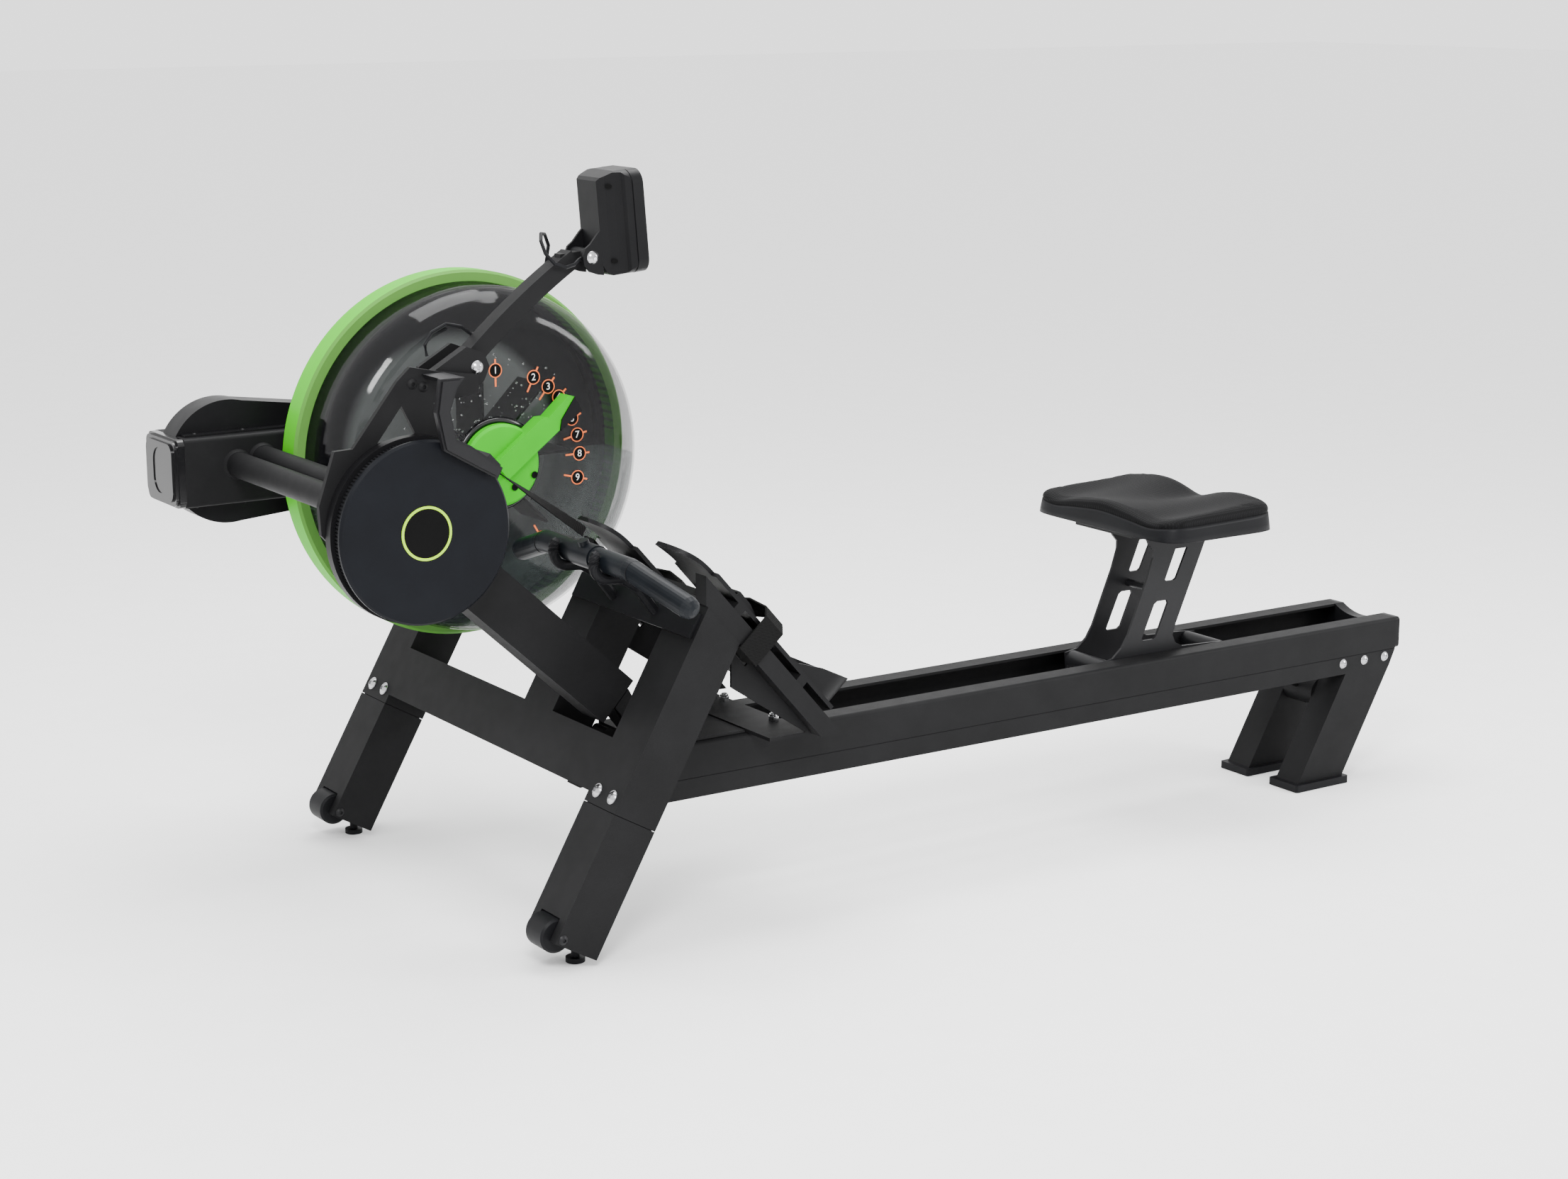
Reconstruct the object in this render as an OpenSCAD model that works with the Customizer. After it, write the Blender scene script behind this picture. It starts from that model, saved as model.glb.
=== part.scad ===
// Water rowing machine: a steel frame on three lower supports, a strap drum that drives an impeller
// in a round water tank, a footrest pair, a console on an arched mast and a seat on a twin rail.
// X runs to the seat end, Y to the tank side and Z up. The origin is on the floor under the middle.

/* [Front legs] */
// Lean of the front legs above the floor, in degrees
lean = 60.4; // [59:0.2:62]
// Width of a leg tube across the machine
leg_w = 82; // [78:1:84]
// Depth of a leg tube along the machine
leg_d = 72; // [70:1:74]
// Wall of the square tubes
wall = 3; // [2:0.5:4]
// Distance between the middle planes of the near leg and the far leg
leg_spread = 699; // [690:1:720]
// Length up the leg at which the bolted lower leg ends
joint_s = 242; // [236:1:248]
// Radius of a transport wheel
wheel_r = 24; // [20:1:24]

/* [Rails] */
// Half of the rail's width
rail_half = 84; // [82:1:86]
// Width of the top flange of each rail
rail_flange = 37; // [34:1:38]
// Height of the rail's lower face
rail_z0 = 184; // [180:1:186]
// Height of the seam between the lower tube and the roller track
rail_seam = 213; // [210:1:214]
// Height of the rail's top face
rail_z1 = 265; // [264:1:268]
// Place of the rail's rear end behind the foot of the front legs
rail_end = 1666; // [1600:1:1700]

/* [Footrests] */
// Slope of the foot channels, in degrees
foot_angle = 48.5; // [47:0.5:50]
// Width and thickness of a foot channel
channel = 27; // [24:1:28]
// Inner face of a foot channel from the middle plane
channel_in = 138; // [136:1:140]
// Height of a footboard's upper face above the channel's lower face
board_v = 44; // [42:1:46]
// Width of a footboard
board_w = 108; // [100:1:110]

/* [Front beam] */
// Width of the front beam across the machine
beam_w = 115; // [110:1:120]
// Height of the front beam's lower face
beam_z0 = 548; // [546:1:550]
// Height of the front beam's upper face
beam_z1 = 650; // [648:1:654]
// Front end of the front beam
beam_x0 = -185; // [-190:1:-180]

/* [Drum and drive] */
// Radius of the strap drum's cover
drum_r = 122; // [116:1:124]
// Radius of the wound strap
wound_r = 117; // [112:1:118]
// Outer radius of the drive tubes
tube_r = 19; // [18:0.5:19]
// Radius of the drive and impeller shafts
shaft_r = 10; // [9:0.5:10]
// Radius of the large pulley
pulley_r = 76; // [70:1:78]
// Radius of the small pulley
small_pulley_r = 29; // [26:1:30]

/* [Tank] */
// Outer radius of the tank's ring
ring_r = 279; // [275:1:282]
// Radius of the clear shell's outer wall
shell_r = 262; // [258:1:264]
// Radius of the flat front window
window_r = 176; // [170:1:180]
// Radius of the lever's hub
hub_r = 62; // [58:1:64]
// Angle of the lever above the horizontal at rest, in degrees
lever_angle = 37; // [20:1:60]
// Radius of the impeller
impeller_r = 150; // [130:1:155]

/* [Mast and console] */
// Width of the mast
mast_w = 28; // [24:1:28]
// Tilt of the console at rest, in degrees
console_tilt = 4.6; // [0:0.2:8]
// Height of the console
console_h = 139; // [130:1:145]
// Width of the console's bezel
console_w = 96; // [90:1:110]

/* [Handle] */
// Radius of the handle bar under its rubber
handle_r = 16; // [15:0.5:16.5]
// Half of the handle's straight middle
handle_half = 110; // [105:1:115]
// Angle of the pull above the horizontal, in degrees
pull_angle = 55; // [54:1:58]

/* [Seat] */
// Middle of the seat along the machine
seat_x = 1202; // [1150:1:1240]
// Width of the seat
seat_w = 336; // [320:1:340]
// Length of the seat
seat_l = 223; // [210:1:230]
// Height of the seat pad's lower face
seat_z = 466; // [460:1:470]
// Radius of a seat roller
roller_r = 20; // [19:0.5:20]

/* [Hidden] */
$fn = 64;

frame_black = [0.16, 0.16, 0.165];
satin_black = [0.09, 0.09, 0.1];
rubber_black = [0.06, 0.06, 0.065];
web_black = [0.05, 0.05, 0.05];
bolt_silver = [0.75, 0.75, 0.76];
ring_green = [0.45, 0.78, 0.28];
lever_green = [0.2, 0.75, 0.05];
smoke = [0.25, 0.27, 0.28, 0.4];
water_tint = [0.55, 0.62, 0.6, 0.5];

// Half of a leg's width, and the middle planes of the three uprights
leg_h = leg_w / 2;
near_y = -(rail_half + leg_h);
post_y = rail_half + leg_h;
far_y = near_y + leg_spread;
// Lower end of the leg, and the span of the crossbar up the leg
foot_s = 53;
bar_s0 = 257;
bar_s1 = 336;
// Transport wheel: length up the leg, depth into it and half of the wheel's width
wheel_s = 62;
wheel_d = 9;
wheel_half = 23;
foot_stem_x = 79;
// Rails and rear legs
rail_wall = 4;
rail_start = 180;
rail_bolt_x = [1548, 1596, 1642];
rear_leg_x0 = 1457;
rear_leg_x1 = 1555;
rear_leg_run = 97;
rear_cap_h = 12;
// Upper end of the foot channels' lower face
foot_x = 268;
foot_z = 479;
board_t = 6;
nut_x = 442;
plate_t = 5;
board_y = channel_in + channel - board_w / 2 - 4;
// Beam, drive axis and tank axis
beam_y0 = far_y - leg_h;
beam_y1 = beam_y0 + beam_w;
beam_mid = (beam_y0 + beam_y1) / 2;
beam_x1 = 395;
drive_x = -104;
drive_z = 606;
tank_x = 238;
tank_z = 597;
tube_y0 = -30;
rear_tube_x = -64;
rear_tube_z = 612;
tube_wall = 3;
bracket_x0 = -234;
bracket_bolt_pts = [[-98, 795], [-82, 790]];
bearing_r = 16;
belt_w = 24;
// Tank, along Y
ring_y0 = 475;
ring_y1 = 520;
shell_y0 = 370;
shell_t = 3;
water_z = 584;
hub_y0 = 352;
hub_y1 = 366;
// Console pivot
pivot_x = 180;
pivot_z = 941;
clamp_bolt = [1, 808];
console_low = -28;
back_x = 14;
back_half = 26;
// Handle in its hooks
handle_x = 180;
handle_z = 530;
hook_y = 56;
// Seat carriage
roller_z = rail_seam + 4 + roller_r + 0.4;
axle_dx = 92;
plate_y = 45;
// Overall box, used to put the origin under the middle
box_x0 = bracket_x0;
box_x1 = rail_end + 8;
box_y0 = -242.2;
box_y1 = beam_y1 + 3;

// A point s up the front leg and d behind its front face, as X and Z
function leg_pt(s, d) = [s * cos(lean) + d * sin(lean), s * sin(lean) - d * cos(lean)];
// Length up the leg at depth d where it meets the lower face of the foot channels
function leg_top(d) = (foot_x * sin(foot_angle) + foot_z * cos(foot_angle)
    + d * cos(lean + foot_angle)) / sin(lean + foot_angle);
// A point u down the footrest and v above the channel's lower face, as X and Z
function foot_pt(u, v) = [
    foot_x + u * cos(foot_angle) + v * sin(foot_angle),
    foot_z - u * sin(foot_angle) + v * cos(foot_angle)
];
// Distance down the footrest at height v where it reaches world height z
function foot_u(v, z) = (foot_z - z + v * cos(foot_angle)) / sin(foot_angle);
// Distance down the footrest at height v where it reaches world place x
function foot_ux(v, x) = (x - foot_x - v * sin(foot_angle)) / cos(foot_angle);
// Points of an arc
function arc(c, r, a0, a1, n) =
    [for (i = [0:n]) c + r * [cos(a0 + (a1 - a0) * i / n), sin(a0 + (a1 - a0) * i / n)]];
// A closed outline moved inwards by d
function inset(p, d) = let(n = len(p)) [for (i = [0:n - 1]) let(
    u = (p[i] - p[(i + n - 1) % n]) / norm(p[i] - p[(i + n - 1) % n]),
    v = (p[(i + 1) % n] - p[i]) / norm(p[(i + 1) % n] - p[i]))
    p[i] + [-u[1] - v[1], u[0] + v[0]] * d / (1 + u * v)];
// A point on the drum's side at an angle
function drum_pt(r, a) = [drive_x + r * cos(a), drive_z + r * sin(a)];

// Put the shared origin on the floor under the middle of the machine
module place() {
    translate([-(box_x0 + box_x1) / 2, -(box_y0 + box_y1) / 2, 0]) children();
}

// Extrude an outline in X and Z across the machine
module y_extrude(y0, y1) {
    translate([0, y1, 0]) rotate([90, 0, 0]) linear_extrude(y1 - y0) children();
}

// Extrude an outline in Y and Z along the machine
module x_extrude(x0, x1) {
    translate([x0, 0, 0]) rotate([90, 0, 90]) linear_extrude(x1 - x0) children();
}

// Round bar across the machine at [x, z]
module y_rod(r, y0, y1, p) {
    translate([p[0], y1, p[1]]) rotate([90, 0, 0]) cylinder(r = r, h = y1 - y0);
}

// Ring across the machine at [x, z]
module y_ring(r_out, r_in, y0, y1, p) {
    difference() {
        y_rod(r_out, y0, y1, p);
        y_rod(r_in, y0 - 1, y1 + 1, p);
    }
}

// Turned shape across the machine: an outline of [radius, y] about [x, z]
module y_turn(p, a = 360) {
    translate([p[0], 0, p[1]]) rotate([-90, 0, 0]) rotate_extrude(angle = a, $fn = 128) children();
}

// Round bar between two points
module bar(p, q, r) {
    run = q - p;
    translate(p) rotate([0, acos(run[2] / norm(run)), atan2(run[1], run[0])])
        cylinder(r = r, h = norm(run), $fn = 32);
}

// Tube swept along a list of points, with a radius for each point, as one closed mesh
module sweep(route, radii, sides) {
    n = len(route);
    function dir(i) = let(v = route[min(i + 1, n - 1)] - route[max(i - 1, 0)]) v / norm(v);
    function side_of(i) = let(v = cross(dir(i), [0.13, 0.2, 0.97])) v / norm(v);
    rings = [for (i = [0:n - 1]) let(a = side_of(i), b = cross(dir(i), a))
        for (k = [0:sides - 1])
            route[i] + radii[i] * (a * cos(360 * k / sides) + b * sin(360 * k / sides))];
    polyhedron(rings, concat(
        [[for (k = [0:sides - 1]) k]],
        [for (i = [0:n - 2], k = [0:sides - 1]) [
            i * sides + k, (i + 1) * sides + k,
            (i + 1) * sides + (k + 1) % sides, i * sides + (k + 1) % sides]],
        [[for (k = [sides - 1:-1:0]) (n - 1) * sides + k]]));
}

// The same radius at every point of a route
function same(route, r) = [for (p = route) r];

// Rectangle with round corners, centred
module soft_rect(w, h, r) {
    square([w - 2 * r, h], center = true);
    square([w, h - 2 * r], center = true);
    for (x = [-1, 1], y = [-1, 1]) translate([x * (w / 2 - r), y * (h / 2 - r)]) circle(r = r, $fn = 32);
}

// Copy mirrored to the far side of the rail
module both_sides() {
    children();
    mirror([0, 1, 0]) children();
}

// Local axes on a leg's front face: X up the leg, Y across, Z outwards
module at_leg(s, y) {
    p = leg_pt(s, 0);
    translate([p[0], y, p[1]]) rotate([0, -lean, 0]) children();
}

// Local axes on the footrest: X down the slope, Y across, Z away from the channel
module at_foot() {
    translate([foot_x, 0, foot_z]) rotate([0, foot_angle, 0]) children();
}

// Button-head bolt whose head stands on Z = 0 and whose shank points down
module button_bolt(r, shank) {
    difference() {
        intersection() {
            translate([0, 0, 0.55 * r - 1.25 * r]) sphere(r = 1.25 * r);
            cylinder(r = r, h = r);
        }
        translate([0, 0, 0.2 * r]) cylinder(r = 0.42 * r, h = r, $fn = 6);
    }
    translate([0, 0, -shank]) cylinder(r = r / 2, h = shank + 0.1);
}

// ---- Front frame ----

// Square leg tube between two cuts, given as lengths up the leg at its front and rear face
module leg_tube(y, low, top_front, top_rear) {
    cap = 4;
    difference() {
        y_extrude(y - leg_h, y + leg_h) polygon([
            leg_pt(low, 0), leg_pt(low, leg_d), leg_pt(top_rear, leg_d), leg_pt(top_front, 0)]);
        y_extrude(y - leg_h + wall, y + leg_h - wall) polygon([
            leg_pt(low - 1, wall), leg_pt(low - 1, leg_d - wall),
            leg_pt(top_rear - cap, leg_d - wall), leg_pt(top_front - cap, wall)]);
    }
}

module bolted_leg(y, top_front, top_rear) {
    difference() {
        leg_tube(y, joint_s + 1, top_front, top_rear);
        for (dy = [-20, 20]) at_leg(joint_s + 20, y + dy) translate([0, 0, -30]) cylinder(r = 4.6, h = 40);
    }
}

module front_leg_near() {
    color(frame_black) place() bolted_leg(near_y, leg_top(0), leg_top(leg_d));
}

module front_leg_far() {
    color(frame_black) place()
        bolted_leg(far_y, beam_z0 / sin(lean), (beam_z0 + leg_d * cos(lean)) / sin(lean));
}

module middle_post() {
    color(frame_black) place() leg_tube(post_y, bar_s1, leg_top(0), leg_top(leg_d));
}

module crossbar() {
    color(frame_black) place() difference() {
        y_extrude(near_y + leg_h, far_y - leg_h) polygon([
            leg_pt(bar_s0, 0), leg_pt(bar_s0, leg_d), leg_pt(bar_s1, leg_d), leg_pt(bar_s1, 0)]);
        y_extrude(near_y + leg_h - 1, far_y - leg_h + 1) polygon([
            leg_pt(bar_s0 + wall, wall), leg_pt(bar_s0 + wall, leg_d - wall),
            leg_pt(bar_s1 - wall, leg_d - wall), leg_pt(bar_s1 - wall, wall)]);
    }
}

// Lower leg with its inner sleeve, the notch for the wheel and the hole for the foot's stem
module lower_leg(y) {
    sleeve = wall + 0.4;
    wheel = leg_pt(wheel_s, wheel_d);
    difference() {
        union() {
            y_extrude(y - leg_h, y + leg_h) polygon([
                leg_pt(foot_s, 0), leg_pt(foot_s, leg_d), leg_pt(joint_s, leg_d), leg_pt(joint_s, 0)]);
            y_extrude(y - leg_h + sleeve, y + leg_h - sleeve) polygon([
                leg_pt(joint_s - 1, sleeve), leg_pt(joint_s - 1, leg_d - sleeve),
                leg_pt(joint_s + 60, leg_d - sleeve), leg_pt(joint_s + 60, sleeve)]);
        }
        y_extrude(y - leg_h + 2 * wall, y + leg_h - 2 * wall) polygon([
            leg_pt(foot_s + 4, 2 * wall), leg_pt(foot_s + 4, leg_d - 2 * wall),
            leg_pt(joint_s + 61, leg_d - 2 * wall), leg_pt(joint_s + 61, 2 * wall)]);
        y_extrude(y - wheel_half - 2, y + wheel_half + 2) polygon([
            leg_pt(foot_s - 5, -5), leg_pt(foot_s - 5, 36), leg_pt(wheel_s + wheel_r, 36),
            leg_pt(wheel_s + wheel_r, -5)]);
        y_rod(4.1, y - leg_h - 1, y + leg_h + 1, wheel);
        translate([foot_stem_x, y, 0]) cylinder(r = 6.3, h = 32);
        for (dy = [-20, 20]) at_leg(joint_s + 20, y + dy) translate([0, 0, -30]) cylinder(r = 4.6, h = 40);
    }
}

module lower_leg_near() {
    color(frame_black) place() lower_leg(near_y);
}

module lower_leg_far() {
    color(frame_black) place() lower_leg(far_y);
}

// Silver fasteners of the frame: leg bolts, rear leg bolts and the lock nuts of the foot bracket
module frame_fasteners() {
    color(bolt_silver) place() {
        for (y = [near_y, far_y], dy = [-20, 20]) at_leg(joint_s + 20, y + dy) {
            cylinder(r = 10, h = 1.2);
            translate([0, 0, 1.2]) button_bolt(8.75, 15.2);
        }
        both_sides() {
            for (x = rail_bolt_x)
                translate([x, -rail_half, rail_z0 + 18]) rotate([90, 0, 0]) button_bolt(8, 10);
            translate([nut_x, -rail_half + rail_flange / 2, rail_z1 + plate_t]) lock_nut();
        }
        y_rod(5, tube_y0 - 1, mast_w / 2 + 10, clamp_bolt);
        translate([clamp_bolt[0], tube_y0, clamp_bolt[1]]) rotate([90, 0, 0]) button_bolt(9, 1);
        y_rod(8, mast_w / 2 + 8, mast_w / 2 + 15, clamp_bolt);
    }
}

// Lock nut on a plate, with its bolt down through the plate and the rail's flange
module lock_nut() {
    cylinder(r = 8, h = 7, $fn = 6);
    cylinder(r = 6.2, h = 10);
    translate([0, 0, -12]) cylinder(r = 4, h = 24);
    translate([0, 0, -14]) cylinder(r = 7, h = 5, $fn = 6);
}

// Rubber feet: levelling feet under the front legs, and caps under the rear legs
module floor_feet() {
    color(rubber_black) place() {
        for (y = [near_y, far_y]) translate([foot_stem_x, y, 0]) {
            cylinder(r = 13.5, h = 7);
            cylinder(r = 6, h = 30);
        }
        both_sides() translate([(rear_leg_x0 + rear_leg_x1) / 2 - 1, -rail_half + 25.5, 0])
            linear_extrude(rear_cap_h) soft_rect(rear_leg_x1 - rear_leg_x0 + 18, 67, 4);
    }
}

module wheel_axles() {
    color(satin_black) place() for (y = [near_y, far_y]) {
        p = leg_pt(wheel_s, wheel_d);
        y_rod(4, y - leg_h, y + leg_h, p);
        translate([p[0], y - leg_h, p[1]]) rotate([90, 0, 0]) button_bolt(7, 1);
        translate([p[0], y + leg_h, p[1]]) rotate([-90, 0, 0]) button_bolt(7, 1);
    }
}

module transport_wheel(y) {
    p = leg_pt(wheel_s, wheel_d);
    translate([0, y, 0]) y_turn(p) polygon([
        [4.05, -wheel_half], [wheel_r - 3, -wheel_half], [wheel_r, -wheel_half + 3],
        [wheel_r, wheel_half - 3], [wheel_r - 3, wheel_half], [4.05, wheel_half]]);
}

module transport_wheel_near() {
    color(rubber_black) place() transport_wheel(near_y);
}

module transport_wheel_far() {
    color(rubber_black) place() transport_wheel(far_y);
}

// ---- Rails ----

// Section of the near rail: a hollow tube below and a track open to the middle above
module rail_section() {
    corner = 6;
    difference() {
        union() {
            translate([-rail_half, rail_z0]) square([rail_flange, rail_z1 - rail_z0 - corner]);
            translate([-rail_half + corner, rail_z0]) square([rail_flange - corner, rail_z1 - rail_z0]);
            translate([-rail_half + corner, rail_z1 - corner]) circle(r = corner, $fn = 32);
        }
        translate([-rail_half + rail_wall, rail_z0 + rail_wall])
            square([rail_flange - 2 * rail_wall, rail_seam - rail_z0 - rail_wall]);
        translate([-rail_half + rail_wall, rail_seam + rail_wall])
            square([rail_flange, rail_z1 - rail_seam - 2 * rail_wall]);
        translate([-rail_half - 1, rail_seam - 0.6]) square([1.8, 1.2]);
    }
}

module rail() {
    difference() {
        x_extrude(rail_start, rail_end) rail_section();
        y_extrude(-200, 200) polygon([
            leg_pt(150, leg_d), leg_pt(450, leg_d), leg_pt(450, -100), leg_pt(150, -100)]);
        y_extrude(-200, 200) polygon([
            [rail_end - 14, rail_z0 - 1], [rail_end, rail_seam], [rail_end + 1, rail_seam],
            [rail_end + 1, rail_z0 - 1]]);
        for (x = rail_bolt_x) y_rod(4.2, -rail_half - 1, -rail_half + 10, [x, rail_z0 + 18]);
        translate([nut_x, -rail_half + rail_flange / 2, rail_z1 - 8]) cylinder(r = 4.2, h = 10);
    }
}

module rail_near() {
    color(frame_black) place() rail();
}

module rail_far() {
    color(frame_black) place() mirror([0, 1, 0]) rail();
}

// End cap with a dip between the two rails
module rail_end_cap() {
    dip = 13;
    gap = rail_half - rail_flange;
    dip_r = (gap * gap + dip * dip) / (2 * dip);
    color(satin_black) place() difference() {
        union() {
            translate([0, 0, (rail_seam + rail_z1) / 2]) x_extrude(rail_end, rail_end + 8)
                soft_rect(2 * rail_half, rail_z1 - rail_seam, 6);
            x_extrude(rail_end - 12, rail_end)
                translate([-gap + 0.5, rail_seam]) square([2 * gap - 1, rail_z1 - rail_seam]);
        }
        x_extrude(rail_end - 20, rail_end + 20) translate([0, rail_z1 - dip + dip_r])
            circle(r = dip_r, $fn = 96);
    }
}

// Welded rear leg frame: two leaning legs and the round tube between them
module rear_leg_frame() {
    leg = [[rear_leg_x0, rear_cap_h], [rear_leg_x1, rear_cap_h],
        [rear_leg_x1 + rear_leg_run, rail_z0], [rear_leg_x0 + rear_leg_run, rail_z0]];
    core = [[rear_leg_x0 + 3.4, rear_cap_h - 1], [rear_leg_x1 - 3.4, rear_cap_h - 1],
        [rear_leg_x1 + rear_leg_run - 6, rail_z0 - wall], [rear_leg_x0 + rear_leg_run + 2, rail_z0 - wall]];
    leg_in = rail_half - 51;
    color(frame_black) place() {
        both_sides() difference() {
            y_extrude(-rail_half, -leg_in) polygon(leg);
            y_extrude(-rail_half + wall, -leg_in - wall) polygon(core);
        }
        y_rod(25, -leg_in, leg_in, [1553, 143]);
    }
}

// ---- Footrests ----

// Bracket on the rails: flat plates, side gussets and the two bars under the footboards
module foot_bracket() {
    gusset_in = channel_in + 4;
    color(frame_black) place() {
        difference() {
            translate([385, -gusset_in, rail_z1]) cube([70, 2 * gusset_in, plate_t]);
            both_sides() translate([nut_x, -rail_half + rail_flange / 2, rail_z1 - 1])
                cylinder(r = 4.2, h = 10);
        }
        difference() {
            translate([238, -rail_half + 4, rail_z1]) cube([146, 2 * rail_half - 8, 3]);
            translate([230, -10, rail_z1 - 1]) cube([34, 20, 5]);
        }
        both_sides() y_extrude(-gusset_in, -gusset_in + 4) polygon([
            [445, rail_z1 + plate_t], foot_pt(foot_u(0, rail_z1 + plate_t), -0.2),
            foot_pt(126, -0.2), foot_pt(126, -9), foot_pt(92, -9), [322, 352]]);
        for (u = [46, 200]) at_foot() translate([u - 8, -channel_in - channel + 3, channel])
            cube([16, 2 * (channel_in + channel) - 6, board_v - board_t - channel]);
    }
}

module foot_channel() {
    low = rail_z1 + 1;
    difference() {
        y_extrude(-channel_in - channel, -channel_in) polygon([
            foot_pt(foot_ux(0, foot_x), 0), foot_pt(foot_u(0, low), 0),
            foot_pt(foot_u(channel, low), channel), foot_pt(foot_ux(channel, foot_x), channel)]);
        y_extrude(-channel_in - channel + wall, -channel_in - wall) polygon([
            foot_pt(wall, wall), foot_pt(foot_u(wall, low - 9), wall),
            foot_pt(foot_u(channel - wall, low - 9), channel - wall), foot_pt(-20, channel - wall)]);
    }
}

module foot_channel_near() {
    color(frame_black) place() foot_channel();
}

module foot_channel_far() {
    color(frame_black) place() mirror([0, 1, 0]) foot_channel();
}

// Footboard: a flat plate with a toe lip that curls forward to a round tip
module footboard() {
    lip_r = 162;
    lip_a = 24;
    flat_u = -15;
    tip_r = 42;
    profile = concat(
        [[270, board_v - board_t], [270, board_v]],
        arc([flat_u, board_v - board_t / 2 - lip_r], lip_r + board_t / 2, 90, 90 + lip_a, 10),
        arc([flat_u, board_v - board_t / 2 - lip_r], lip_r - board_t / 2, 90 + lip_a, 90, 10));
    at_foot() intersection() {
        y_extrude(-board_y - board_w / 2, -board_y + board_w / 2) polygon(profile);
        translate([0, -board_y, 0]) linear_extrude(100) {
            translate([flat_u, -board_w / 2]) square([300, board_w]);
            translate([flat_u - 30, -tip_r]) square([40, 2 * tip_r]);
            translate([flat_u - 26, 0]) circle(r = tip_r);
        }
    }
    // Open-ended guide box of the foot strap
    at_foot() difference() {
        y_extrude(-150, -92) polygon([
            [36, board_v - 1], [36, board_v + 10], [62, board_v + 9], [84, board_v + 3], [84, board_v - 1]]);
        y_extrude(-147, -95) polygon([
            [35, board_v], [35, board_v + 7], [62, board_v + 6], [76, board_v + 2], [76, board_v]]);
    }
}

module footboard_near() {
    color(satin_black) place() footboard();
}

module footboard_far() {
    color(satin_black) place() mirror([0, 1, 0]) footboard();
}

// Webbing strap that loops under the channel and over the foot
module foot_strap() {
    out = channel_in + channel + 1.6;
    board_edge = board_y - board_w / 2 - 2.6;
    t = 2.4;
    at_foot() translate([82, 0, 0]) rotate([90, 0, 90]) linear_extrude(40) difference() {
        polygon([[-out - t, -5], [-out - t, 54], [-152, 66 + t], [-106, 70 + t], [-64, 62 + t],
            [-board_edge + t, 50], [-board_edge + t, 32],
            [-channel_in + 2.6 + t, 32], [-channel_in + 2.6 + t, -5]]);
        polygon([[-out, -5 + t], [-out, 53], [-151, 66], [-106, 70], [-65, 62],
            [-board_edge, 49], [-board_edge, 32 + t],
            [-channel_in + 2.6, 32 + t], [-channel_in + 2.6, -5 + t]]);
    }
}

module foot_strap_near() {
    color(web_black) place() foot_strap();
}

module foot_strap_far() {
    color(web_black) place() mirror([0, 1, 0]) foot_strap();
}

// Heel rest: a floor plate and a round heel cup that slide on the footboard
module heel_rest() {
    floor_v = board_v + 0.4;
    cup_r = 42;
    cup_u = 245;
    side = [[170, floor_v], [170, floor_v + 4], [186, floor_v + 6], [224, 73], [288, 100], [288, floor_v]];
    at_foot() intersection() {
        y_extrude(-board_y - cup_r, -board_y + cup_r) polygon(side);
        translate([0, -board_y, 0]) union() {
            translate([0, 0, floor_v]) linear_extrude(3.6) heel_outline(cup_u, cup_r);
            linear_extrude(110) difference() {
                heel_outline(cup_u, cup_r);
                heel_outline(cup_u, cup_r - 4);
                translate([165, -cup_r + 4]) square([20, 2 * cup_r - 8]);
            }
        }
    }
}

module heel_outline(u, r) {
    translate([170, -r]) square([u - 170, 2 * r]);
    translate([u, 0]) circle(r = r);
}

module heel_rest_near() {
    color(satin_black) place() heel_rest();
}

module heel_rest_far() {
    color(satin_black) place() mirror([0, 1, 0]) heel_rest();
}

// ---- Beams and drive tubes ----

// Inclined beam from the drum bracket down to the rails, with its two foot plates
module inclined_beam() {
    slope = 42.5;
    depth = 72;
    half = 30;
    x0 = -43;
    top = [28, 538];
    low = [232, 351];
    head_z = top[1] + (top[0] - x0) * tan(slope);
    back = low - depth * [sin(slope), cos(slope)];
    head_low = head_z - depth / cos(slope);
    color(frame_black) place() {
        difference() {
            y_extrude(-half, half) polygon([[x0, head_low], back, low, [x0, head_z]]);
            y_extrude(-half + wall, half - wall) polygon([
                [x0 + wall, head_low + 4 - wall], back + [0, 6],
                low - [5, 0.5], [x0 + wall, head_z - 4 - wall]]);
            bar(cord_route[1] - [6, 0, -8], cord_route[2], 8);
        }
        both_sides() y_extrude(-half, -half + 4)
            polygon([[203, 316], [224, 340], [262, rail_z1 + 3], [240, rail_z1 + 3]]);
    }
}

// Front beam with slots where the large pulley stands out of it, and holes for the bearings
module front_beam() {
    slot_half = 20;
    color(frame_black) place() difference() {
        translate([0, beam_mid, (beam_z0 + beam_z1) / 2]) x_extrude(beam_x0, beam_x1) difference() {
            soft_rect(beam_w, beam_z1 - beam_z0, 6);
            soft_rect(beam_w - 2 * wall, beam_z1 - beam_z0 - 2 * wall, 3);
        }
        translate([-176, beam_mid - slot_half, beam_z1 - 8]) cube([341, 2 * slot_half, 20]);
        translate([-166, beam_mid - slot_half, beam_z0 - 12]) cube([296, 2 * slot_half, 20]);
        y_rod(bearing_r, beam_y1 - 10, beam_y1 + 1, [drive_x, drive_z]);
        y_rod(shaft_r + 2, beam_y0 - 1, beam_y0 + 10, [drive_x, drive_z]);
        for (y = [beam_y0 - 1, beam_y1 - 10]) y_rod(bearing_r, y, y + 11, [tank_x, tank_z]);
    }
}

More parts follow.
